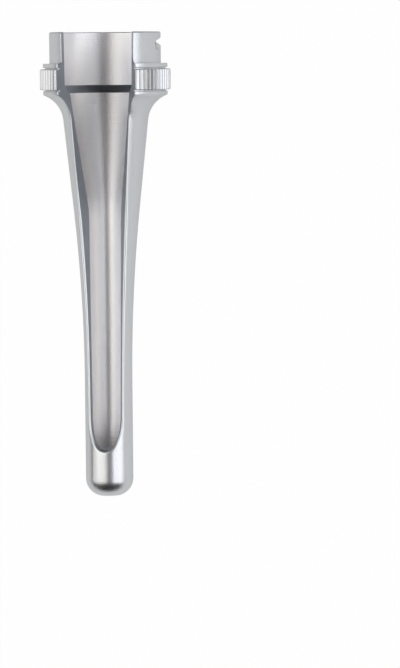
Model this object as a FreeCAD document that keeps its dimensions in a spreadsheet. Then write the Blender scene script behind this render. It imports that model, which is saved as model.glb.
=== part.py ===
import FreeCAD, Part
import math
import os

import Sketcher

# Slotted ear speculum, turned and milled from one piece of metal, all lengths in mm.
# The piece's own axis is Y: the crown of its round tip is at Y = 0, the collar's rim at the far end,
# and the long slot opens upwards, to +Z. At rest it lies on its knurled ring and its tip.

SIZES = [
    ("workingLength", 90, "crown of the tip to the shoulder under the collar"),
    ("collarHeight", 6.45, "shoulder to rim"),
    ("socketDiameter", 21, "bore that takes the holder"),
    ("socketDepth", 11, "rim to the foot of the socket's wall"),
    ("collarWall", 1, "wall of the collar round the socket"),
    ("seatWidth", 1.6, "45 degree seat between the socket's wall and the funnel"),
    ("funnelAngle", 12, "funnel's half angle, degrees"),
    ("funnelBlend", 20, "radius between funnel and bore"),
    ("boreDiameter", 7.7, "straight bore of the tube"),
    ("orificeDiameter", 5, "opening in the round tip"),
    ("tubeWall", 1.1, "wall of the tube and its tip"),
    ("tipRound", 3.7, "radius of the tip's outer corner"),
    ("tubeLength", 24, "parallel length of the tube from the crown"),
    ("flareShare", 0.6, "share of the way from the tube to the funnel's mouth that the long curve takes"),
    ("throatWall", 0.45, "wall left between the straight taper and the funnel's mouth"),
    ("neckRadius", 6.1, "hollow curve from the taper up to the lower flange"),
    ("shoulderWidth", 1.35, "both flanges stand out from the collar by this"),
    ("flangeThickness", 0.85, "upper flange"),
    ("knurlProud", 0.65, "the ribs of the grip ring stand out from the flanges by this"),
    ("knurlWidth", 4.25, "length of the ribs"),
    ("knurlGrooves", 84, "grooves round the ring"),
    ("knurlDepth", 0.3, "depth of each 90 degree groove"),
    ("reliefDepth", 0.4, "depth of the two tool reliefs beside the knurl, from the flanges"),
    ("reliefWidth", 0.3, "width of each relief"),
    ("lowerFlangeThickness", 0.9, "lower flange"),
    ("lowerEdgeRound", 0.4, "round under the lower flange"),
    ("edgeBreak", 0.15, "small chamfer on turned edges"),
    ("slotBase", 3.2, "width of the slot at the piece's axis, at its far end"),
    ("slotFlank", 27.5, "lean of each slot wall, degrees"),
    ("slotFall", 1.9, "fall of the cutter's path towards the rim, degrees"),
    ("slotEnd", 9.7, "crown of the tip to the end of the slot"),
    ("cutterRadius", 6.9, "radius of the form cutter that leaves the slot's arched end"),
    ("cutterCorner", 1, "round on the cutter's two corners"),
    ("bayonetWidth", 2.05, "width of the bayonet slot"),
    ("bayonetDrop", 2.8, "rim to the centre of the slot's round end"),
    ("bayonetEndAngle", 79, "round end, degrees round the collar from the long slot"),
    ("bayonetEntryAngle", 118, "entry through the rim, degrees from the long slot"),
    ("bayonetRise", 11, "slope of the slot between its end and its entry, degrees"),
]

# Room that a cut is given past the surface that it starts or ends in
OVERCUT = 2

# Radii and heights that several features share, worked out in the sheet's own terms
TUBE = "(Sizes.boreDiameter / 2 + Sizes.tubeWall)"
SOCKET = "(Sizes.socketDiameter / 2)"
MOUTH = f"({SOCKET} - Sizes.seatWidth)"
THROAT = f"({MOUTH} + Sizes.throatWall)"
COLLAR = f"({SOCKET} + Sizes.collarWall)"
FLANGE = f"({COLLAR} + Sizes.shoulderWidth)"
RELIEF = f"({FLANGE} - Sizes.reliefDepth)"
RIBS = f"({FLANGE} + Sizes.knurlProud)"
RIM = "(Sizes.workingLength + Sizes.collarHeight)"
KNURL_TOP = "(Sizes.workingLength - Sizes.flangeThickness - Sizes.reliefWidth)"
KNURL_FOOT = f"({KNURL_TOP} - Sizes.knurlWidth)"
FLANGE_TOP = f"({KNURL_FOOT} - Sizes.reliefWidth)"
SOCKET_FOOT = f"({RIM} - Sizes.socketDepth)"
SEAT_FOOT = f"({SOCKET_FOOT} - Sizes.seatWidth)"
FLARE_END = f"(Sizes.tubeLength + Sizes.flareShare * ({SEAT_FOOT} - Sizes.tubeLength))"

doc = FreeCAD.newDocument("Speculum")
sheet = doc.addObject("Spreadsheet::Sheet", "Sizes")
for row, (alias, value, note) in enumerate(SIZES, start=1):
    sheet.set(f"A{row}", note)
    sheet.set(f"B{row}", str(value))
    sheet.setAlias(f"B{row}", alias)
doc.recompute()


def size(alias):
    return float(sheet.get(alias))


def worked_out(expression):
    return float(sheet.evalExpression(expression.replace("Sizes.", "")))


def vector(x, y):
    return FreeCAD.Vector(x, y, 0)


def around(centre, radius, degrees):
    turn = math.radians(degrees)
    return centre + vector(radius * math.cos(turn), radius * math.sin(turn))


class Outline:
    """A closed sketch outline: numbered lines and arcs, each starting where the last one ends."""

    def __init__(self, body, name, plane, start):
        self.sketch = body.newObject("Sketcher::SketchObject", name)
        support = next(feature for feature in body.Origin.OriginFeatures if feature.Role == plane)
        self.sketch.AttachmentSupport = [(support, "")]
        self.sketch.MapMode = "FlatFace"
        self.corner = start
        self.points = []

    def place(self, axis, **expressions):
        """Turns the sketch about an axis of its plane and shifts it, both bound to the sheet."""
        self.sketch.AttachmentOffset = FreeCAD.Placement(FreeCAD.Vector(), FreeCAD.Rotation(axis, 1))
        for name, expression in expressions.items():
            path = "Rotation.Angle" if name == "turn" else f"Base.{name}"
            self.sketch.setExpression(f"AttachmentOffset.{path}", expression)

    def add(self, curve, corner, points, smooth):
        number = self.sketch.addGeometry(curve, False)
        self.points.append(points)
        self.corner = corner
        if number:
            self.join(number - 1, number, smooth)

    def join(self, before, after, smooth):
        meets = "Tangent" if smooth else "Coincident"
        self.sketch.addConstraint(Sketcher.Constraint(meets, *self.end(before), *self.start(after)))

    def line(self, x, y, smooth=False):
        corner = vector(x, y)
        self.add(Part.LineSegment(self.corner, corner), corner, (1, 2), smooth)

    def arc(self, centre, radius, begin, finish, smooth=True):
        # An arc is stored counter-clockwise, so one followed the other way starts at its second point
        points = (1, 2) if finish > begin else (2, 1)
        turns = [math.radians(turn) for turn in sorted((begin, finish))]
        curve = Part.ArcOfCircle(Part.Circle(centre, FreeCAD.Vector(0, 0, 1), radius), *turns)
        self.add(curve, around(centre, radius, finish), points, smooth)

    def close(self, smooth=False):
        self.join(len(self.points) - 1, 0, smooth)

    def start(self, number):
        return number, self.points[number][0]

    def end(self, number):
        return number, self.points[number][1]

    def level(self, *numbers):
        for number in numbers:
            self.sketch.addConstraint(Sketcher.Constraint("Horizontal", number))

    def upright(self, *numbers):
        for number in numbers:
            self.sketch.addConstraint(Sketcher.Constraint("Vertical", number))

    def centre(self, left, right, on):
        self.sketch.addConstraint(Sketcher.Constraint("Symmetric", *left, *right, *on))

    def bind(self, kind, *places_and_expression):
        *places, expression = places_and_expression
        value = float(self.sketch.evalExpression(expression))
        if kind == "Angle":
            value = math.radians(value)
        number = self.sketch.addConstraint(Sketcher.Constraint(kind, *places, value))
        self.sketch.setExpression(f"Constraints[{number}]", expression)

    def across(self, place, expression):
        self.bind("DistanceX", -1, 1, *place, expression)

    def above(self, place, expression):
        self.bind("DistanceY", -1, 1, *place, expression)


def cut(feature, before):
    """Recomputes after a cutting feature and makes sure that it took something away."""
    doc.recompute()
    if feature.Shape.Volume >= before.Shape.Volume:
        raise RuntimeError(f"{feature.Name} cuts nothing")
    return feature


def turned_outside(body):
    tube = worked_out(TUBE)
    tip = size("tipRound")
    throat = vector(worked_out(THROAT), worked_out(SEAT_FOOT))
    neck = size("neckRadius")
    edge = size("lowerEdgeRound")
    flange = worked_out(FLANGE)
    relief = worked_out(RELIEF)
    ribs = worked_out(RIBS)
    collar = worked_out(COLLAR)
    small = size("edgeBreak")
    shoulder = size("workingLength")
    rim = worked_out(RIM)
    knurlTop = worked_out(KNURL_TOP)
    knurlFoot = worked_out(KNURL_FOOT)
    flangeTop = worked_out(FLANGE_TOP)
    edgeCentre = vector(flange - edge, flangeTop - size("lowerFlangeThickness") + edge)

    # The long curve leaves the tube smoothly and the straight taper after it aims at the throat
    curved = worked_out(FLARE_END) - size("tubeLength")
    straight = throat.y - worked_out(FLARE_END)
    taper = math.degrees(2 * math.atan((throat.x - tube) / (curved + 2 * straight)))
    flare = curved / math.sin(math.radians(taper))

    # The hollow curve touches the taper's line below and the flange's round edge above
    flareCentre = vector(tube + flare, size("tubeLength"))
    flareEnd = around(flareCentre, flare, 180 - taper)
    away = vector(math.cos(math.radians(taper)), -math.sin(math.radians(taper)))
    along = vector(math.sin(math.radians(taper)), math.cos(math.radians(taper)))
    offset = (edgeCentre - flareEnd).dot(away) - neck
    reach = (edgeCentre - flareEnd).dot(along) - math.sqrt((neck + edge) ** 2 - offset ** 2)
    neckStart = flareEnd + along * reach
    neckCentre = neckStart + away * neck
    meeting = edgeCentre - neckCentre
    neckTurn = math.degrees(math.atan2(meeting.y, meeting.x))

    outline = Outline(body, "OutsideOutline", "XY_Plane", vector(0, 0))
    outline.line(tube - tip, 0)
    outline.arc(vector(tube - tip, tip), tip, -90, 0)
    outline.line(tube, size("tubeLength"), smooth=True)
    outline.arc(flareCentre, flare, 180, 180 - taper)
    outline.line(neckStart.x, neckStart.y, smooth=True)
    outline.arc(neckCentre, neck, 180 - taper, neckTurn)
    outline.arc(edgeCentre, edge, neckTurn - 180, 0)
    outline.line(flange, flangeTop, smooth=True)
    outline.line(relief, flangeTop)
    outline.line(relief, knurlFoot)
    outline.line(ribs - small, knurlFoot)
    outline.line(ribs, knurlFoot + small)
    outline.line(ribs, knurlTop - small)
    outline.line(ribs - small, knurlTop)
    outline.line(relief, knurlTop)
    outline.line(relief, knurlTop + size("reliefWidth"))
    outline.line(flange, knurlTop + size("reliefWidth"))
    outline.line(flange, shoulder)
    outline.line(collar, shoulder)
    outline.line(collar, rim - small)
    outline.line(collar - small, rim)
    outline.line(0, rim)
    outline.line(0, 0)
    outline.close()

    outline.sketch.addConstraint(Sketcher.Constraint("Coincident", *outline.start(0), -1, 1))
    outline.level(0, 8, 10, 14, 16, 18, 21)
    outline.upright(2, 7, 9, 12, 15, 17, 19, 22)
    outline.bind("Radius", 1, "Sizes.tipRound")
    outline.across(outline.end(2), TUBE)
    outline.above(outline.end(2), "Sizes.tubeLength")
    outline.above(outline.end(3), FLARE_END)
    aim = outline.sketch.addGeometry(Part.Point(throat), True)
    outline.across((aim, 1), THROAT)
    outline.above((aim, 1), SEAT_FOOT)
    outline.sketch.addConstraint(Sketcher.Constraint("PointOnObject", aim, 1, 4))
    outline.bind("Radius", 5, "Sizes.neckRadius")
    outline.bind("Radius", 6, "Sizes.lowerEdgeRound")
    outline.above((6, 3), f"{FLANGE_TOP} - Sizes.lowerFlangeThickness + Sizes.lowerEdgeRound")
    outline.across(outline.end(7), FLANGE)
    outline.above(outline.end(7), FLANGE_TOP)
    outline.across(outline.end(8), RELIEF)
    outline.above(outline.end(9), KNURL_FOOT)
    outline.across(outline.end(10), f"{RIBS} - Sizes.edgeBreak")
    outline.across(outline.end(11), RIBS)
    outline.above(outline.end(11), f"{KNURL_FOOT} + Sizes.edgeBreak")
    outline.above(outline.end(12), f"{KNURL_TOP} - Sizes.edgeBreak")
    outline.across(outline.end(13), f"{RIBS} - Sizes.edgeBreak")
    outline.above(outline.end(13), KNURL_TOP)
    outline.across(outline.end(14), RELIEF)
    outline.above(outline.end(15), f"{KNURL_TOP} + Sizes.reliefWidth")
    outline.across(outline.end(16), FLANGE)
    outline.above(outline.end(17), "Sizes.workingLength")
    outline.across(outline.end(18), COLLAR)
    outline.above(outline.end(19), f"{RIM} - Sizes.edgeBreak")
    outline.across(outline.end(20), f"{COLLAR} - Sizes.edgeBreak")
    outline.above(outline.end(20), RIM)

    outside = body.newObject("PartDesign::Revolution", "TurnedOutside")
    outside.Profile = outline.sketch
    outside.ReferenceAxis = (outline.sketch, ["V_Axis"])
    outside.Angle = 360
    doc.recompute()
    return outside


def knurled_ring(body, before):
    ring = worked_out(RIBS)
    depth = size("knurlDepth")
    outline = Outline(body, "KnurlOutline", "XZ_Plane", vector(0, ring - depth))
    outline.line(depth + OVERCUT, ring + OVERCUT)
    outline.line(-depth - OVERCUT, ring + OVERCUT)
    outline.line(0, ring - depth)
    outline.close()
    outline.level(1)
    outline.sketch.addConstraint(Sketcher.Constraint("PointOnObject", *outline.start(0), -2))
    outline.above(outline.start(0), f"{RIBS} - Sizes.knurlDepth")
    outline.above(outline.end(1), f"{RIBS} + {OVERCUT}")
    outline.bind("Angle", 0, "45 deg")
    outline.bind("Angle", 2, "-45 deg")
    outline.place(FreeCAD.Vector(1, 0, 0), turn="0", z=f"Sizes.reliefWidth / 2 - {KNURL_FOOT}")

    groove = body.newObject("PartDesign::Pocket", "KnurlGroove")
    groove.Profile = outline.sketch
    groove.setExpression("Length", "Sizes.knurlWidth + Sizes.reliefWidth")
    cut(groove, before)

    knurl = body.newObject("PartDesign::PolarPattern", "Knurl")
    knurl.Originals = [groove]
    knurl.Axis = (outline.sketch, ["N_Axis"])
    knurl.Angle = 360
    knurl.setExpression("Occurrences", "Sizes.knurlGrooves")
    body.Tip = knurl
    return cut(knurl, groove)


def bored_inside(body, before):
    orifice = size("orificeDiameter") / 2
    tube = worked_out(TUBE)
    bore = size("boreDiameter") / 2
    tip = size("tipRound")
    socket = worked_out(SOCKET)
    mouth = worked_out(MOUTH)
    lean = size("funnelAngle")
    blend = size("funnelBlend")
    rim = worked_out(RIM)
    top = rim + OVERCUT
    seatFoot = worked_out(SEAT_FOOT)
    tipCentre = vector(tube - tip, tip)
    inner = bore - tipCentre.x
    tipTurn = -math.degrees(math.acos((orifice - tipCentre.x) / inner))
    blendCentre = vector(bore + blend, 0)
    blendEnd = around(blendCentre, blend, 180 - lean)
    blendCentre.y = seatFoot - (mouth - blendEnd.x) / math.tan(math.radians(lean)) - blendEnd.y

    outline = Outline(body, "InsideOutline", "XY_Plane", vector(0, -OVERCUT))
    outline.line(orifice, -OVERCUT)
    outline.line(orifice, around(tipCentre, inner, tipTurn).y)
    outline.arc(tipCentre, inner, tipTurn, 0, smooth=False)
    outline.line(bore, blendCentre.y, smooth=True)
    outline.arc(blendCentre, blend, 180, 180 - lean)
    outline.line(mouth, seatFoot, smooth=True)
    outline.line(socket, worked_out(SOCKET_FOOT))
    outline.line(socket, rim - size("edgeBreak"))
    outline.line(socket + size("edgeBreak") + OVERCUT, top)
    outline.line(0, top)
    outline.line(0, -OVERCUT)
    outline.close()

    outline.sketch.addConstraint(Sketcher.Constraint("PointOnObject", *outline.start(0), -2))
    outline.level(0, 9)
    outline.upright(1, 3, 7, 10)
    outline.above(outline.start(0), f"-{OVERCUT}")
    outline.across(outline.end(0), "Sizes.orificeDiameter / 2")
    outline.across((2, 3), f"{TUBE} - Sizes.tipRound")
    outline.above((2, 3), "Sizes.tipRound")
    outline.across(outline.end(3), "Sizes.boreDiameter / 2")
    outline.bind("Radius", 4, "Sizes.funnelBlend")
    outline.bind("Angle", 5, "(90 - Sizes.funnelAngle) * 1deg")
    outline.across(outline.end(5), MOUTH)
    outline.bind("Angle", 6, "45 deg")
    outline.across(outline.end(6), SOCKET)
    outline.above(outline.end(6), SOCKET_FOOT)
    outline.above(outline.end(7), f"{RIM} - Sizes.edgeBreak")
    outline.bind("Angle", 8, "45 deg")
    outline.above(outline.end(8), f"{RIM} + {OVERCUT}")

    inside = body.newObject("PartDesign::Groove", "BoredInside")
    inside.Profile = outline.sketch
    inside.ReferenceAxis = (outline.sketch, ["V_Axis"])
    inside.Angle = 360
    return cut(inside, before)


# The form cutter's lowest point is over this point of the tube's axis when the cut ends
SLOT_FOOT = ("(Sizes.slotEnd - Sizes.cutterRadius * sin(Sizes.slotFall)"
             " + sqrt(Sizes.cutterRadius ^ 2"
             f" - (Sizes.cutterRadius * cos(Sizes.slotFall) - {TUBE}) ^ 2))")


def milled_slot(body, before):
    """The long slot: a straight run of the form cutter from the rim."""
    half = size("slotBase") / 2
    grow = math.tan(math.radians(size("slotFlank")))
    height = f"{RIBS} + {RIM} * tan(Sizes.slotFall) + {OVERCUT}"
    outline = Outline(body, "SlotOutline", "XZ_Plane", vector(-half, 0))
    top = float(outline.sketch.evalExpression(height))
    outline.line(half, 0)
    outline.line(half + grow * top, top)
    outline.line(-half - grow * top, top)
    outline.line(-half, 0)
    outline.close()
    outline.level(0)
    outline.centre(outline.start(0), outline.end(0), (-1, 1))
    outline.centre(outline.start(2), outline.end(2), (-2,))
    outline.bind("DistanceX", *outline.start(0), *outline.end(0), "Sizes.slotBase")
    outline.bind("Angle", 1, "(90 - Sizes.slotFlank) * 1deg")
    outline.above(outline.end(1), height)
    outline.place(FreeCAD.Vector(-1, 0, 0), turn="Sizes.slotFall", z=f"-{SLOT_FOOT}")

    slot = body.newObject("PartDesign::Pocket", "LongSlot")
    slot.Profile = outline.sketch
    slot.setExpression("Length", f"{RIM} + {OVERCUT}")
    return cut(slot, before)


def arched_slot_end(body, before):
    """Where the slot ends the form cutter leaves its own round: an arch in the tube's wall."""
    half = size("slotBase") / 2
    corner = size("cutterCorner")
    lean = size("slotFlank")
    grow = math.tan(math.radians(lean))
    radius = size("cutterRadius")
    # Centre of the corner's round, which touches the base line and the leaning flank
    inset = half - corner * math.tan(math.radians(45 - lean / 2))
    outline = Outline(body, "CutterOutline", "XZ_Plane", vector(-inset, 0))
    outline.line(inset, 0)
    outline.arc(vector(inset, corner), corner, -90, -lean)
    outline.line(half + grow * radius, radius, smooth=True)
    outline.line(-half - grow * radius, radius)
    flankFoot = around(vector(-inset, corner), corner, 180 + lean)
    outline.line(flankFoot.x, flankFoot.y)
    outline.arc(vector(-inset, corner), corner, 180 + lean, 270)
    outline.close(smooth=True)
    outline.level(0)
    outline.centre(outline.start(0), outline.end(0), (-1, 1))
    outline.centre(outline.start(3), outline.end(3), (-2,))
    outline.bind("Radius", 1, "Sizes.cutterCorner")
    outline.bind("Radius", 5, "Sizes.cutterCorner")
    outline.bind("Angle", 2, "(90 - Sizes.slotFlank) * 1deg")
    outline.across(outline.end(2), "Sizes.slotBase / 2 + Sizes.cutterRadius * tan(Sizes.slotFlank)")
    outline.above(outline.end(2), "Sizes.cutterRadius")
    outline.place(FreeCAD.Vector(-1, 0, 0), turn="Sizes.slotFall", z=f"-{SLOT_FOOT}")
    axis = outline.sketch.addGeometry(Part.LineSegment(vector(-1, radius), vector(1, radius)), True)
    outline.sketch.addConstraint(Sketcher.Constraint("Coincident", axis, 1, *outline.end(3)))
    outline.sketch.addConstraint(Sketcher.Constraint("Coincident", axis, 2, *outline.start(3)))

    arch = body.newObject("PartDesign::Groove", "SlotEnd")
    arch.Profile = outline.sketch
    arch.ReferenceAxis = (outline.sketch, ["Axis0"])
    arch.Angle = 360
    return cut(arch, before)


def bayonet_slot(body, before):
    """The slot in the collar that the holder's pin enters through the rim and runs down."""
    half = size("bayonetWidth") / 2
    rise = size("bayonetRise")
    spread = math.radians(size("bayonetEntryAngle") - size("bayonetEndAngle")) / 2
    reach = worked_out(COLLAR) * math.sin(spread)
    rim = worked_out(RIM)
    slope = math.tan(math.radians(rise))
    centre = vector(-reach, rim - size("bayonetDrop"))

    def leg(x, side):
        return centre.y + (x - centre.x) * slope + side * half / math.cos(math.radians(rise))

    outline = Outline(body, "BayonetOutline", "XY_Plane", around(centre, half, 90 + rise))
    outline.arc(centre, half, 90 + rise, 270 + rise)
    outline.line(reach + half, leg(reach + half, -1), smooth=True)
    outline.line(reach + half, rim + OVERCUT)
    outline.line(reach - half, rim + OVERCUT)
    outline.line(reach - half, leg(reach - half, 1))
    outline.line(around(centre, half, 90 + rise).x, around(centre, half, 90 + rise).y)
    outline.close(smooth=True)
    reachOut = f"{COLLAR} * sin((Sizes.bayonetEntryAngle - Sizes.bayonetEndAngle) / 2)"
    outline.upright(2, 4)
    outline.level(3)
    outline.bind("Radius", 0, "Sizes.bayonetWidth / 2")
    outline.across((0, 3), f"-{reachOut}")
    outline.above((0, 3), f"{RIM} - Sizes.bayonetDrop")
    outline.bind("Angle", 1, "Sizes.bayonetRise * 1deg")
    outline.sketch.addConstraint(Sketcher.Constraint("Parallel", 1, 5))
    outline.across(outline.end(2), f"{reachOut} + Sizes.bayonetWidth / 2")
    outline.above(outline.end(2), f"{RIM} + {OVERCUT}")
    outline.bind("DistanceX", *outline.end(3), *outline.start(3), "Sizes.bayonetWidth")
    outline.place(FreeCAD.Vector(0, 1, 0), turn="(Sizes.bayonetEntryAngle + Sizes.bayonetEndAngle) / 2")

    slot = body.newObject("PartDesign::Pocket", "BayonetSlot")
    slot.Profile = outline.sketch
    slot.Reversed = True
    slot.setExpression("Length", f"{COLLAR} + {OVERCUT}")
    return cut(slot, before)


def lay_down(body):
    """Lays the piece on its knurled ring and its tip, centred over the origin, slot upwards."""
    tip = size("tipRound")
    run = worked_out(KNURL_FOOT) + size("edgeBreak") - tip
    climb = worked_out(RIBS) - (worked_out(TUBE) - tip)
    lean = math.atan2(climb, run) - math.asin(tip / math.hypot(run, climb))
    turn = FreeCAD.Rotation(FreeCAD.Vector(1, 0, 0), math.degrees(lean))
    body.Placement = FreeCAD.Placement(FreeCAD.Vector(), turn)
    doc.recompute()
    room = body.Shape.optimalBoundingBox(False, False)
    body.Placement = FreeCAD.Placement(FreeCAD.Vector(-room.Center.x, -room.Center.y, -room.ZMin), turn)
    doc.recompute()


def build():
    body = doc.addObject("PartDesign::Body", "Speculum")
    body.Label = "speculum"
    outside = turned_outside(body)
    knurl = knurled_ring(body, outside)
    inside = bored_inside(body, knurl)
    slot = milled_slot(body, inside)
    arch = arched_slot_end(body, slot)
    bayonet_slot(body, arch)
    lay_down(body)
    return body


def check_and_export(bodies):
    for thing in doc.Objects:
        if {"Invalid", "Error"} & set(thing.State):
            raise RuntimeError(f"{thing.Name}: {thing.State}")
    for body in bodies:
        if body.Shape.isNull() or not body.Shape.isValid() or len(body.Shape.Solids) != 1:
            raise RuntimeError(f"{body.Label} is not one valid solid")
    os.makedirs("parts", exist_ok=True)
    for body in bodies:
        body.Shape.exportStep(f"parts/{body.Label}.step")
        room = body.Shape.optimalBoundingBox(False, False)
        spans = f"{room.XLength:.2f} x {room.YLength:.2f} x {room.ZLength:.2f} mm"
        print(f"{body.Label}: {body.Shape.Volume:.1f} mm3, {spans}")


check_and_export([build()])
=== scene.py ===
import math

import bmesh
import bpy
from mathutils import Matrix, Vector


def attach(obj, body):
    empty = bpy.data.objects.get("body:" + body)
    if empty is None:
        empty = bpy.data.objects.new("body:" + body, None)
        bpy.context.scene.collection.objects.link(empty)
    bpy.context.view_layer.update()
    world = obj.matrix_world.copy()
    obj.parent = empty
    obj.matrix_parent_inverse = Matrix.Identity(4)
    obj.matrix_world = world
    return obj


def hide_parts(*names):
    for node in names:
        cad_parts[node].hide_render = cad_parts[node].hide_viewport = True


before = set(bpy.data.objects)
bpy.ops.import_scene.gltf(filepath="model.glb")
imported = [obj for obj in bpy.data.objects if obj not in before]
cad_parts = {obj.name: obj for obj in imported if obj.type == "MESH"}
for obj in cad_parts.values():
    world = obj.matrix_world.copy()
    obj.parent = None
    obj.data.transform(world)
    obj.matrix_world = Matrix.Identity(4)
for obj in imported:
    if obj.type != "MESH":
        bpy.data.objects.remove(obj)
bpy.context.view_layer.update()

scene = bpy.context.scene
mm = 0.001


def hexToLinear(code):
    # sRGB hex to the linear values that shaders take
    parts = [int(code[i:i + 2], 16) / 255 for i in (1, 3, 5)]
    return [p / 12.92 if p <= 0.04045 else ((p + 0.055) / 1.055) ** 2.4 for p in parts] + [1]


def addNode(tree, kind, settings=None, inputs=None, links=None):
    # settings are the node's own fields, inputs are socket values, links are (socket, source output)
    node = tree.nodes.new(kind)
    for name, value in (settings or {}).items():
        setattr(node, name, value)
    for name, value in (inputs or {}).items():
        node.inputs[name].default_value = value
    for name, source in (links or {}).items():
        tree.links.new(source, node.inputs[name])
    return node


# Sizes in mm and degrees as on the drawing: radii from the piece's own axis, heights from the tip's crown.
# The piece lies on its knurled ring and its tip, so its axis climbs towards the collar.
trumpet = {
    "lean": 6.0076, "crown": (0, -48.53145, 4.55589),  # where the crown then lies
    "bore": 3.85, "tube": 4.95, "tubeTop": 24.0,
    "tipRound": 3.7, "orifice": 2.5, "orificeLand": 0.5,
    "flare": 343.4, "taper": 6.0025, "neck": 6.1,  # long hollow curve, angle, short hollow curve
    "flange": 12.85, "flangeFoot": 83.4, "underEdge": 0.4, "shoulder": 90,
    "relief": 12.45, "lowerRelief": 84.3, "upperRelief": 89.15,
    "collar": 11.5, "rim": 96.45, "rimEdge": 0.24,
    "socket": 10.5, "seatTop": 85.45, "mouth": 8.9, "seatFoot": 83.85,
    "funnel": 12.0, "blend": 20.0,  # angle, and the curve that leads it into the bore
    "smallEdge": 0.15, "cornerRound": 0.04,
}
knurl = {
    "ribs": 13.5, "foot": 84.6, "top": 88.85, "depth": 0.3,
    "grooves": 84, "taken": 19,  # the slot takes nineteen away
}
slot = {
    "half": 1.6,  # half its width at the axis, at its far end
    "flank": 27.5, "fall": 1.9, "end": 9.7,
    "cutter": 6.9, "corner": 2.5,
    "inside": 18,  # a height that lies well inside the slot
}
# The slot's edges are broken by hand, so the round outside changes along the piece
brokenEdge = {
    "heights": (0, 24, 45, 58, 67, 84, 85, 89, 90, 97),
    "rounds": (0.28, 0.32, 0.42, 0.42, 0.14, 0.12, 0.34, 0.34, 0.12, 0.12),
    "inside": 0.12,
    "steps": 4, "insideSteps": 2,
    "support": 0.12,  # share of the wall between a round and the row beside it
}
# Number of faces along each stretch, and three places in mm
faceLayout = {
    "underEdge": 5, "neck": 14, "taper": 6, "flare": 16, "tip": 10, "insideTip": 7,
    "slotInTube": 4, "archCorner": 7, "archHalf": 9,
    "archFade": 6,  # rows in which the bend of the arch dies out
    "levelTop": 6.6, "levelFoot": 5,  # heights between which the rows under the arch are level
    "besideSlot": 0.8,  # from the slot's edge to the first column
}
tubeRings = (trumpet["tube"], trumpet["bore"])


def betweenValues(value, places, values):
    for a, b, low, high in zip(places, places[1:], values, values[1:]):
        if value <= b:
            return low + (high - low) * max(value - a, 0) / (b - a)
    return values[-1]


def lastWhere(holds, low, high):
    # Halves the stretch until it closes on the last value for which the test holds
    for _ in range(40):
        middle = (low + high) / 2
        low, high = (middle, high) if holds(middle) else (low, middle)
    return low


def neckCurve():
    # The hollow curve touches the taper's line and the round under the flange
    t, taper = trumpet, math.radians(trumpet["taper"])
    away = Vector((math.cos(taper), -math.sin(taper)))
    along = Vector((math.sin(taper), math.cos(taper)))
    end = Vector((t["tube"] + t["flare"] * (1 - math.cos(taper)),
                  t["tubeTop"] + t["flare"] * math.sin(taper)))
    edge = Vector((t["flange"] - t["underEdge"], t["flangeFoot"] + t["underEdge"]))
    side = (edge - end).dot(away) - t["neck"]
    run = (edge - end).dot(along) - math.sqrt((t["neck"] + t["underEdge"]) ** 2 - side ** 2)
    start = end + along * run
    return end, start, start + away * t["neck"], edge


def swept(centre, radius, first, last, steps):
    # Points of an arc in the profile, angles in degrees from the radius direction
    turns = [math.radians(first + (last - first) * k / steps) for k in range(steps + 1)]
    return [Vector((centre[0] + radius * math.cos(t), centre[1] + radius * math.sin(t))) for t in turns]


def softened(corners):
    # Each turned corner gets a small round of three points
    points = [corners[0]]
    for before, corner, after in zip(corners, corners[1:], corners[2:]):
        back, on = before - corner, after - corner
        step = min(trumpet["cornerRound"], back.length / 3, on.length / 3)
        back, on = back.normalized(), on.normalized()
        points += [corner + back * step, corner + (back + on) * step * 0.3, corner + on * step]
    return points + [corners[-1]]


def outerRows():
    # Profile from the rim down to the foot of the flare, and how many points the folded rings take
    t, k, small = trumpet, knurl, trumpet["smallEdge"]
    end, start, centre, edge = neckCurve()
    turned = [
        (t["collar"] - t["rimEdge"], t["rim"]), (t["collar"], t["rim"] - t["rimEdge"]),
        (t["collar"], t["shoulder"]), (t["flange"], t["shoulder"]),
        (t["flange"], t["upperRelief"]), (t["relief"], t["upperRelief"]),
        (t["relief"], k["top"]), (k["ribs"] - small, k["top"]), (k["ribs"], k["top"] - small),
        (k["ribs"], k["foot"] + small), (k["ribs"] - small, k["foot"]), (t["relief"], k["foot"]),
        (t["relief"], t["lowerRelief"]), (t["flange"], t["lowerRelief"]), (t["flange"], edge.y),
    ]
    rows = softened([Vector(p) for p in turned])
    meet = math.degrees(math.atan2(centre.y - edge.y, centre.x - edge.x))
    rows[-1:] = swept(edge, t["underEdge"], 0, meet, faceLayout["underEdge"])
    folded = len(rows)
    rows += swept(centre, t["neck"], meet + 180, 180 - t["taper"], faceLayout["neck"])[1:]
    rows += [start.lerp(end, n / faceLayout["taper"]) for n in range(1, faceLayout["taper"])]
    flareCentre = (t["tube"] + t["flare"], t["tubeTop"])
    rows += swept(flareCentre, t["flare"], 180 - t["taper"], 180, faceLayout["flare"])
    return rows, folded


def boreRadius(y):
    # Bore, the curve that opens it, and the funnel up to the seat
    t, lean = trumpet, math.radians(trumpet["funnel"])
    opened = t["bore"] + t["blend"] * (1 - math.cos(lean))
    blendEnd = t["seatFoot"] - (t["mouth"] - opened) / math.tan(lean)
    blendStart = blendEnd - t["blend"] * math.sin(lean)
    if y <= blendStart:
        return t["bore"]
    if y <= blendEnd:
        return t["bore"] + t["blend"] - math.sqrt(t["blend"] ** 2 - (y - blendStart) ** 2)
    return t["mouth"] - (t["seatFoot"] - y) * math.tan(lean)


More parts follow.
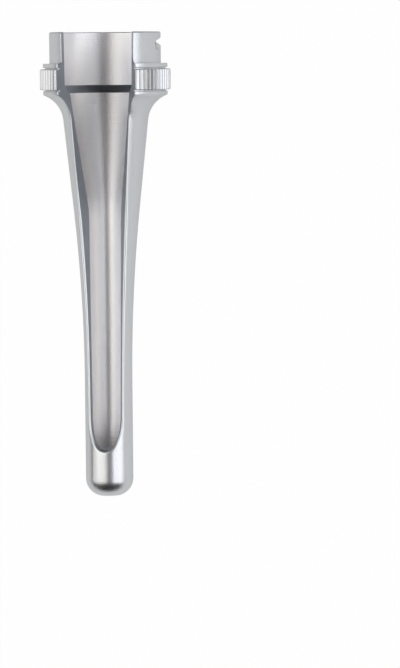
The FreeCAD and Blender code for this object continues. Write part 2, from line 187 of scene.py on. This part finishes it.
def innerRows(outer, folded):
    # One row of the bore for each row outside, so that the slot's wall is made of clean strips
    t, small = trumpet, trumpet["smallEdge"]
    corners = [Vector(p) for p in ((t["socket"] + small, t["rim"]), (t["socket"], t["rim"] - small),
                                   (t["socket"], t["seatTop"]), (t["mouth"], t["seatFoot"]))]
    lengths = [(b - a).length for a, b in zip(corners, corners[1:])]
    places = [sum(lengths[:k]) / sum(lengths) for k in range(len(corners))]
    reach = [0]
    for a, b in zip(outer[:folded], outer[1:folded]):
        reach.append(reach[-1] + (b - a).length)
    shares = [r / reach[-1] for r in reach]
    for place in places[1:3]:  # a row falls on each corner between the ends
        nearest = min(range(1, folded - 1), key=lambda k: abs(shares[k] - place))
        shares[nearest] = place
    across, along = [c.x for c in corners], [c.y for c in corners]
    rows = [Vector((betweenValues(s, places, across), betweenValues(s, places, along))) for s in shares]
    return rows + [Vector((boreRadius(p.y), p.y)) for p in outer[folded:]]


def cutterPlace():
    # Middle of the form cutter at the slot's end: along the piece, and above its axis
    over = slot["cutter"] * math.cos(math.radians(slot["fall"]))
    return slot["end"] + math.sqrt(slot["cutter"] ** 2 - (over - trumpet["tube"]) ** 2), over


def wallTurn(radius, y):
    # Angle from the slot's middle at which its straight wall meets a ring
    fall, flank = math.radians(slot["fall"]), math.radians(slot["flank"])
    foot = cutterPlace()[0] - slot["cutter"] * math.sin(fall)
    half = slot["half"] + math.tan(flank) * (y - foot) * math.sin(fall)
    lean = math.atan(math.tan(flank) * math.cos(fall))
    return lean + math.asin(half * math.cos(lean) / radius)


def cutterDepth(x):
    # How far the cutter's rim stands back at a distance from its middle
    flank, corner = math.radians(slot["flank"]), slot["corner"]
    inset = slot["half"] - corner * math.tan(math.pi / 4 - flank / 2)
    if x <= inset:
        return 0
    if x <= inset + corner * math.cos(flank):
        return corner - math.sqrt(corner ** 2 - (x - inset) ** 2)
    return (x - slot["half"]) / math.tan(flank)


def archHeight(radius, turn):
    along, over = cutterPlace()
    reach = slot["cutter"] - cutterDepth(radius * math.sin(abs(turn)))
    return along - math.sqrt(max(reach ** 2 - (over - radius * math.cos(turn)) ** 2, 0))


def archSpan(radius):
    # Angle at which the arch has turned half way to the walls, angle and height at which the walls begin
    along, over = cutterPlace()
    fall, step = math.radians(slot["fall"]), 0.002

    def beforeWall(turn):
        reach = slot["cutter"] - cutterDepth(radius * math.sin(turn))
        cuts = reach > over - radius * math.cos(turn)
        return archHeight(radius, turn) < along - reach * math.sin(fall) and cuts

    def nearlyLevel(turn):
        return archHeight(radius, turn + step) - archHeight(radius, turn) < step * radius

    wall = lastWhere(beforeWall, 0.05, 1.3)  # radians, the walls of both rings begin between these
    return lastWhere(nearlyLevel, 0, wall), wall, archHeight(radius, wall)


def spot(radius, y, turn):
    return Vector((radius * math.sin(turn), y, radius * math.cos(turn)))


def onWall(radius, y):
    return radius, y, wallTurn(radius, y)


def onArch(radius, turn):
    return radius, archHeight(radius, turn), turn


def slotStations():
    # Pairs of outer and inner corners along the slot's right edge, from the rim to half way round the arch
    outer, folded = outerRows()
    pairs = [(onWall(*a), onWall(*b)) for a, b in zip(outer, innerRows(outer, folded))]
    spans = [archSpan(radius) for radius in tubeRings]
    top, steps = trumpet["tubeTop"], faceLayout["slotInTube"]
    for k in range(1, steps + 1):
        pairs.append(tuple(onWall(radius, top + (start - top) * k / steps)
                           for radius, (_, _, start) in zip(tubeRings, spans)))
    straight, steps = len(pairs), faceLayout["archCorner"]
    for k in range(1, steps + 1):
        pairs.append(tuple(onArch(radius, wall + (half - wall) * k / steps)
                           for radius, (half, wall, _) in zip(tubeRings, spans)))
    return pairs, straight


def archStations():
    # The same pairs round the arch's end, from one side to the other
    halves, steps = [archSpan(radius)[0] for radius in tubeRings], faceLayout["archHalf"]
    return [tuple(onArch(radius, half * (1 - k / steps)) for radius, half in zip(tubeRings, halves))
            for k in range(1, 2 * steps)]


def brokenCorner(corner, across, into, radius, steps):
    # Round between the surface and the slot's wall, first point on the surface
    opening = across.angle(into)
    run = radius / math.tan(opening / 2)
    middle = corner + (across + into).normalized() * radius / math.sin(opening / 2)
    first = (corner + across * run - middle).normalized()
    last = (corner + into * run - middle).normalized()
    points = [middle + first.slerp(last, k / steps) * radius for k in range(steps + 1)]
    # The surface is round and not flat, so the points are drawn back to it
    ring = spot(math.hypot(corner.x, corner.z), points[0].y, math.atan2(points[0].x, points[0].z))
    drop = ring - points[0]
    return [p + drop * (1 - k / steps) for k, p in enumerate(points)]


def edgeBand():
    # Rows of points across the slot's wall, from the outer surface over both broken edges to the bore
    right, straight = slotStations()
    left = [tuple((r, y, -turn) for r, y, turn in pair) for pair in reversed(right)]
    pairs = right + archStations() + left
    corners = [[spot(*pair[side]) for pair in pairs] for side in (0, 1)]
    probe, band = 0.05, []
    for k, pair in enumerate(pairs):
        mirror = 1 if k < len(pairs) / 2 else -1
        onStraight = k < straight or k >= len(pairs) - straight
        rounds = []
        for side, (r, y, turn) in enumerate(pair):
            here, there = corners[side][k], corners[1 - side][k]
            if onStraight:
                across = Vector((math.cos(turn), 0, -math.sin(turn))) * mirror
                step = probe if side else -probe
                into = (spot(r + step, y, wallTurn(r + step, y) * mirror) - here).normalized()
            else:
                along = (corners[side][k + 1] - corners[side][k - 1]).normalized()
                across = Vector((here.x, 0, here.z)).normalized().cross(along).normalized()
                if across.dot(Vector((here.x, here.y - slot["inside"], 0))) < 0:
                    across.negate()
                into = there - here
                into = (into - along * into.dot(along)).normalized()
            radius, steps = brokenEdge["inside"], brokenEdge["insideSteps"]
            if side == 0:
                radius = betweenValues(y, brokenEdge["heights"], brokenEdge["rounds"])
                steps = brokenEdge["steps"]
            rounds.append(brokenCorner(here, across, into, radius, steps))
        outside, inside = rounds[0], rounds[1][::-1]
        beside = (inside[0] - outside[-1]) * brokenEdge["support"]
        band.append(outside + [outside[-1] + beside, inside[0] - beside] + inside)
    return right, band


def groovePlaces():
    # Angles of the columns: both edges and the bottom of each groove of the knurl
    pitch = 2 * math.pi / knurl["grooves"]
    wide = math.asin(knurl["depth"] / knurl["ribs"])
    places = []
    for g in range(knurl["grooves"] - knurl["taken"]):
        middle = ((knurl["taken"] + 1) / 2 + g) * pitch
        places += [middle - wide, middle, middle + wide]
    return places


def lowerRows(outerStart, innerStart, outerTurn, innerTurn):
    # Below the arch: down the tube, round the tip, through the orifice and up the bore
    t, low, foot = trumpet, faceLayout["levelTop"], faceLayout["levelFoot"]
    tip, innerRound = (t["tube"] - t["tipRound"], t["tipRound"]), t["tipRound"] - (t["tube"] - t["bore"])
    outAngle = math.degrees(math.asin((t["orifice"] - tip[0]) / t["tipRound"]))
    inAngle = math.degrees(math.asin((t["orifice"] - tip[0]) / innerRound))
    path = [Vector((t["tube"], low)), Vector((t["tube"], foot))]
    path += swept(tip, t["tipRound"], 0, outAngle - 90, faceLayout["tip"])
    path += [path[-1] + Vector((0, t["orificeLand"]))]
    path += swept(tip, innerRound, inAngle - 90, 0, faceLayout["insideTip"])
    path += [Vector((t["bore"], foot)), Vector((t["bore"], low))]
    shares = [k / (len(path) - 1) for k in range(len(path))]
    level = [(p.x, p.y, outerTurn + (innerTurn - outerTurn) * s, 0) for p, s in zip(path, shares)]
    # Rows that still bend with the arch carry how much they bend, below zero in the bore
    fade = faceLayout["archFade"]
    above = [(t["tube"], outerStart + (low - outerStart) * k / fade, outerTurn, 1 - k / fade)
             for k in range(1, fade)]
    below = [(t["bore"], innerStart + (low - innerStart) * k / fade, innerTurn, k / fade - 1)
             for k in range(fade - 1, 0, -1)]
    return above + level + below


def laySheet(shape, down, across, place):
    # A flat grid, each point of which is carried to its place on the piece
    grid = bmesh.ops.create_grid(shape, x_segments=across, y_segments=down, size=1)["verts"]
    for k, point in enumerate(grid):
        point.co = place(*divmod(k, across + 1)) * mm


# Slots of the three finishes, and how squarely a face looks at the axis or along it to get one
finishSlots = {"outside": 0, "bore": 1, "bareAndShaded": 2}
finishTurns = {"inside": 0.6, "bore": 0.85, "end": 0.6}


def giveFinishes(shape):
    # The bore gets its copy of the steel lightened with painted light, and the seat in it and the ends of
    # the rings get the bare steel darkened with painted shade
    ringFoot = (trumpet["flangeFoot"] + trumpet["underEdge"]) * mm
    for face in shape.faces:
        middle = face.calc_center_median()
        inwards = -face.normal.dot(Vector((middle.x, 0, middle.z)).normalized())
        if face.material_index == finishSlots["outside"] and inwards > finishTurns["inside"]:
            # Faces that pass get the bore's copy of the steel, lightened with painted light
            satin = inwards > finishTurns["bore"] or middle.y < trumpet["tubeTop"] * mm
            face.material_index = finishSlots["bore" if satin else "bareAndShaded"]
        if abs(face.normal.y) > finishTurns["end"] and middle.y > ringFoot:
            face.material_index = finishSlots["bareAndShaded"]


def shapeTrumpet(shape):
    right, band = edgeBand()
    top, width = len(right), len(band[0])
    places = groovePlaces()
    columns = len(places) + 1
    ends = (0, -1)  # a row across the slot's wall runs from its outer end to the one in the bore
    starts = [math.atan2(band[top - 1][k].x, band[top - 1][k].z) for k in ends]
    lower = lowerRows(right[-1][0][1], right[-1][1][1], *starts)
    boreStart, boreEnd = top + len(lower), 2 * top + len(lower)
    outerRim = trumpet["collar"] - trumpet["rimEdge"]
    flat = outerRim - trumpet["socket"] - trumpet["smallEdge"]
    rim = [outerRim - flat * k / (width - 1) for k in range(1, width - 1)]

    def ringPoint(r, y, first, column):
        share = (places[column - 1] - places[0]) / (2 * math.pi - 2 * places[0])
        return spot(r, y, first + share * 2 * (math.pi - first))

    def mirrored(point, column):
        return Vector((point.x * (-1 if column == columns else 1), point.y, point.z))

    def bodyPoint(row, column):
        # Down the outside, round the tip, up the bore and over the rim
        edge = column in (0, columns)
        if row < top or boreStart <= row < boreEnd:
            side, k = (0, row) if row < top else (1, boreEnd - 1 - row)
            r, y, turn = right[k][side]
            if edge:
                return mirrored(band[k][ends[side]], column)
            first = turn + faceLayout["besideSlot"] / r
            if side == 0 and r > (trumpet["flange"] + knurl["ribs"]) / 2:
                first = places[0]
                if column % 3 == 2:  # bottom of a groove
                    r = min(r, knurl["ribs"] - knurl["depth"])
            return ringPoint(r, y, first, column)
        if row < boreStart:
            r, y, turn, bend = lower[row - top]
            if not edge:
                return ringPoint(r, y, turn + faceLayout["besideSlot"] / trumpet["tube"], column)
            side = 0 if bend > 0 else 1
            y += abs(bend) * (band[top - 1][ends[side]].y - right[-1][side][1])
            return mirrored(spot(r, y, turn), column)
        k = row - boreEnd
        if k >= len(rim):
            return bodyPoint(0, column)
        if edge:
            return mirrored(band[0][width - 2 - k], column)
        r, y = rim[len(rim) - 1 - k], trumpet["rim"]
        return ringPoint(r, y, wallTurn(r, y) + faceLayout["besideSlot"] / r, column)

    def archPoint(row, column):
        # From the arch's outer edge down to the tip and back up to its inner edge
        station = band[top - 1 + column]
        share = 1 - column / faceLayout["archHalf"]
        if row in (0, len(lower) + 1):
            return station[0 if row == 0 else -1]
        r, y, turn, bend = lower[row - 1]
        if not bend:
            return spot(r, y, turn * share)
        start = station[0 if bend > 0 else -1]
        own, fallen = math.atan2(start.x, start.z), 1 - abs(bend)
        level = start.y + (faceLayout["levelTop"] - start.y) * fallen
        return spot(r, level, own + (turn * share - own) * fallen)

    laySheet(shape, boreEnd + len(rim), columns, bodyPoint)
    laySheet(shape, len(lower) + 1, 2 * faceLayout["archHalf"], archPoint)
    laid = len(shape.faces)
    laySheet(shape, len(band) - 1, width - 1, lambda row, column: band[row][column])
    shape.faces.ensure_lookup_table()
    for k, strip in enumerate(shape.faces[laid:]):
        if k % (width - 1) >= brokenEdge["steps"]:  # past the outer round the slot's wall gets the bare steel, darkened with painted shade
            strip.material_index = finishSlots["bareAndShaded"]
    bmesh.ops.remove_doubles(shape, verts=shape.verts, dist=1e-6)
    bmesh.ops.recalc_face_normals(shape, faces=shape.faces)
    giveFinishes(shape)


def intoObject(shape, name):
    # Lays the shape down as it rests, and makes it an object that stands at the origin
    shape.transform(Matrix.Translation(Vector(trumpet["crown"]) * mm)
                    @ Matrix.Rotation(math.radians(trumpet["lean"]), 4, "X"))
    mesh = bpy.data.meshes.new(name)
    shape.to_mesh(mesh)
    shape.free()
    thing = bpy.data.objects.new(name, mesh)
    scene.collection.objects.link(thing)
    return thing


# L-shaped slot that the holder's pin enters through the rim, cut square through the collar
bayonet = {
    "width": 2.05, "drop": 2.8, "over": 1,  # centre of the round end below the rim, cut past the rim
    "endTurn": 79, "entryTurn": 118, "rise": 11,  # degrees
    "from": 8, "depth": 6,  # distance from the axis, and through the wall
    "steps": 14,
}


def makeBayonetCutter():
    b, half, rise = bayonet, bayonet["width"] / 2, math.radians(bayonet["rise"])
    reach = trumpet["collar"] * math.sin(math.radians(b["entryTurn"] - b["endTurn"]) / 2)
    level, top = trumpet["rim"] - b["drop"], trumpet["rim"] + b["over"]
    climb, lift = 2 * reach * math.tan(rise), half / math.cos(rise)
    points = swept((-reach, level), half, 90 + b["rise"], 270 + b["rise"], b["steps"])
    points += [Vector(p) for p in ((reach + half, level + climb + half * math.tan(rise) - lift),
                                   (reach + half, top), (reach - half, top),
                                   (reach - half, level + climb - half * math.tan(rise) + lift))]
    shape = bmesh.new()
    outline = shape.faces.new([shape.verts.new((p.x, p.y, b["from"])) for p in points])
    solid = bmesh.ops.extrude_face_region(shape, geom=[outline])["geom"]
    pushed = [v for v in solid if isinstance(v, bmesh.types.BMVert)]
    bmesh.ops.translate(shape, vec=(0, 0, b["depth"]), verts=pushed)
    turn = math.radians(b["entryTurn"] + b["endTurn"]) / 2
    bmesh.ops.rotate(shape, verts=shape.verts, matrix=Matrix.Rotation(turn, 3, "Y"))
    bmesh.ops.scale(shape, vec=(mm, mm, mm), verts=shape.verts)
    bmesh.ops.recalc_face_normals(shape, faces=shape.faces)
    return intoObject(shape, "bayonet cutter")


def makeSpeculum():
    sharpFrom = 32  # degrees: the small rounds stay smooth, the chamfers are crisp
    shape = bmesh.new()
    shapeTrumpet(shape)
    piece = intoObject(shape, "turned_speculum")
    cutter = makeBayonetCutter()
    cut = piece.modifiers.new("bayonet slot", "BOOLEAN")
    cut.object, cut.operation, cut.solver = cutter, "DIFFERENCE", "EXACT"
    bpy.context.view_layer.objects.active = piece
    bpy.ops.object.modifier_apply(modifier=cut.name)
    bpy.data.objects.remove(cutter)
    piece.data.shade_smooth()
    piece.data.set_sharp_from_angle(angle=math.radians(sharpFrom))
    even = piece.modifiers.new("even normals", "WEIGHTED_NORMAL")
    even.keep_sharp = True
    return piece


# One stainless steel in three finishes, in the order of their slots; the bore's is a copy lightened with
# painted light and the bare one is darkened with painted shade. Blasting pits and tool marks are a few
# hundredths of a millimetre across, too fine to show from here, so both are drawn coarser.
# grain and marks are their sizes in mm, and the depths are in mm too.
steelFinishes = [
    {"name": "satin stainless steel, turned and bead blasted",  # pale sheen, lights blurred to soft bands
     "colour": "#E4E7EA", "roughness": 0.33,
     "grain": 0.3, "grainDepth": 0.03, "marks": 0.35, "marksDepth": 0.01},
    {"name": "satin stainless steel, bored and bead blasted",  # lighter colour is painted light; duller, with faint rings across
     "colour": "#FBFBFD", "roughness": 0.38,
     "grain": 0.3, "grainDepth": 0.035, "marks": 0.4, "marksDepth": 0.03},
    {"name": "bare stainless steel, milled and turned, with painted shade",  # dark grey: partly metal as the cutter leaves it, partly painted shade
     "colour": "#AEB4BB", "roughness": 0.42,
     "grain": 0.35, "grainDepth": 0.02, "marks": 0.5, "marksDepth": 0.004},
]


def makeSteel(finish):
    stretched = 0.02  # the turning rings hardly change across the piece
    material = bpy.data.materials.new(finish["name"])
    material.use_nodes = True
    tree = material.node_tree
    tree.nodes.clear()
    coords = addNode(tree, "ShaderNodeTexCoord")
    # Fine pits of the blasting, the same in every direction
    grain = addNode(tree, "ShaderNodeTexNoise", None, {"Scale": 1 / mm / finish["grain"], "Detail": 1.0},
                    {"Vector": coords.outputs["Object"]})
    pits = addNode(tree, "ShaderNodeBump", None, {"Strength": 1.0, "Distance": finish["grainDepth"] * mm},
                   {"Height": grain.outputs["Fac"]})
    # Rings left by the lathe: a noise that only changes along the piece's leaning axis
    along = addNode(tree, "ShaderNodeMapping", None,
                    {"Rotation": (-math.radians(trumpet["lean"]), 0, 0), "Scale": (stretched, 1, stretched)},
                    {"Vector": coords.outputs["Object"]})
    rings = addNode(tree, "ShaderNodeTexNoise", None, {"Scale": 1 / mm / finish["marks"], "Detail": 1.0},
                    {"Vector": along.outputs["Vector"]})
    marks = addNode(tree, "ShaderNodeBump", None, {"Strength": 1.0, "Distance": finish["marksDepth"] * mm},
                    {"Height": rings.outputs["Fac"], "Normal": pits.outputs["Normal"]})
    steel = addNode(tree, "ShaderNodeBsdfPrincipled", None,
                    {"Base Color": hexToLinear(finish["colour"]), "Metallic": 1.0,
                     "Roughness": finish["roughness"]},
                    {"Normal": marks.outputs["Normal"]})
    addNode(tree, "ShaderNodeOutputMaterial", None, None, {"Surface": steel.outputs["BSDF"]})
    return material


# Pale floor that reads as the white background, and keeps a little of the shadow
floorLook = {
    "size": 12.0,  # metres, so that its far edge doesn't show from low down
    "colour": "#F4F4F4",
    "seen": 0.985, "mirrored": 0.3,  # share of plain white to the camera, and in reflections
}


def makeFloor():
    bpy.ops.mesh.primitive_plane_add(size=floorLook["size"])
    floor = bpy.context.object
    floor.name = "floor"
    material = bpy.data.materials.new("matt white paper sweep")
    material.use_nodes = True
    tree = material.node_tree
    tree.nodes.clear()
    rays = addNode(tree, "ShaderNodeLightPath")
    mirrored = addNode(tree, "ShaderNodeMath", {"operation": "MAXIMUM"}, None,
                       {0: rays.outputs["Is Glossy Ray"], 1: rays.outputs["Is Transmission Ray"]})
    part = addNode(tree, "ShaderNodeMath", {"operation": "MULTIPLY"}, {1: floorLook["mirrored"]},
                   {0: mirrored.outputs[0]})
    lift = addNode(tree, "ShaderNodeMath", {"operation": "MULTIPLY_ADD"}, {1: floorLook["seen"]},
                   {0: rays.outputs["Is Camera Ray"], 2: part.outputs[0]})
    paper = addNode(tree, "ShaderNodeBsdfDiffuse", None, {"Color": hexToLinear(floorLook["colour"])})
    white = addNode(tree, "ShaderNodeEmission", None, {"Color": (1, 1, 1, 1), "Strength": 1.0})
    mix = addNode(tree, "ShaderNodeMixShader", None, None,
                  {0: lift.outputs[0], 1: paper.outputs[0], 2: white.outputs[0]})
    addNode(tree, "ShaderNodeOutputMaterial", None, None, {"Surface": mix.outputs[0]})
    floor.data.materials.append(material)


# Two long soft boxes, one each side, with an open gap overhead between them. Metres and degrees.
softBoxes = {
    "left": {"angle": -36, "distance": 0.60, "across": 0.80, "along": 0.7,
             "radiance": 1.24, "colour": "#FEFBF5"},
    "right": {"angle": 54, "distance": 0.60, "across": 0.64, "along": 0.7,
              "radiance": 1.44, "colour": "#FAFBFD"},
}


def makeSoftBoxes():
    for name, box in softBoxes.items():
        lamp = bpy.data.lights.new("soft box " + name, "AREA")
        lamp.shape = "RECTANGLE"
        lamp.size, lamp.size_y = box["across"], box["along"]
        lamp.energy = box["radiance"] * math.pi * box["across"] * box["along"]
        lamp.color = hexToLinear(box["colour"])[:3]
        thing = bpy.data.objects.new(lamp.name, lamp)
        tilt = math.radians(box["angle"])
        thing.location = (box["distance"] * math.sin(tilt), 0, box["distance"] * math.cos(tilt))
        thing.rotation_euler = (0, tilt, 0)
        scene.collection.objects.link(thing)


# Seen from the piece the room is dim overhead and dark past the ends of the soft boxes
studioRoom = {
    "colour": "#DCD2E0", "overhead": 0.08, "ends": 0.005,
    "fades": (0.1, 0.65),  # slope along the piece at which the dark begins, and at which it is full
}


def makeRoom():
    world = bpy.data.worlds.new("studio")
    world.use_nodes = True
    tree = world.node_tree
    tree.nodes.clear()
    coords = addNode(tree, "ShaderNodeTexCoord")
    parts = addNode(tree, "ShaderNodeSeparateXYZ", None, None, {0: coords.outputs["Generated"]})
    along = addNode(tree, "ShaderNodeMath", {"operation": "ABSOLUTE"}, None, {0: parts.outputs["Y"]})
    level = addNode(tree, "ShaderNodeMapRange", {"interpolation_type": "SMOOTHSTEP"},
                    {"From Min": studioRoom["fades"][0], "From Max": studioRoom["fades"][1],
                     "To Min": studioRoom["overhead"], "To Max": studioRoom["ends"]},
                    {"Value": along.outputs[0]})
    room = addNode(tree, "ShaderNodeBackground", None, {"Color": hexToLinear(studioRoom["colour"])},
                   {"Strength": level.outputs[0]})
    addNode(tree, "ShaderNodeOutputWorld", None, None, {"Surface": room.outputs[0]})
    scene.world = world


# Found from the photograph's outlines: a long lens, almost straight above the piece
photoCamera = {
    "place": (0.117945, -0.020548, 0.621406),
    "turn": (0.617, 9.1262, 0.4944),  # degrees
    "lens": 161.585, "sensor": 36,
    "near": 0.01,
}


def makeCamera():
    camera = bpy.data.cameras.new("camera")
    camera.lens = photoCamera["lens"]
    camera.sensor_width = photoCamera["sensor"]
    camera.clip_start = photoCamera["near"]
    thing = bpy.data.objects.new("camera", camera)
    thing.location = photoCamera["place"]
    thing.rotation_euler = [math.radians(a) for a in photoCamera["turn"]]
    scene.collection.objects.link(thing)
    scene.camera = thing


scene.view_settings.view_transform = "Standard"
makeCamera()
makeSoftBoxes()
makeRoom()
makeFloor()
print("stage, lights and camera are in place")

speculum = makeSpeculum()
print("the speculum is shaped from", len(speculum.data.polygons), "faces")
for finish in steelFinishes:
    speculum.data.materials.append(makeSteel(finish))
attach(speculum, "root")
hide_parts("speculum")
print("the speculum has its steel")
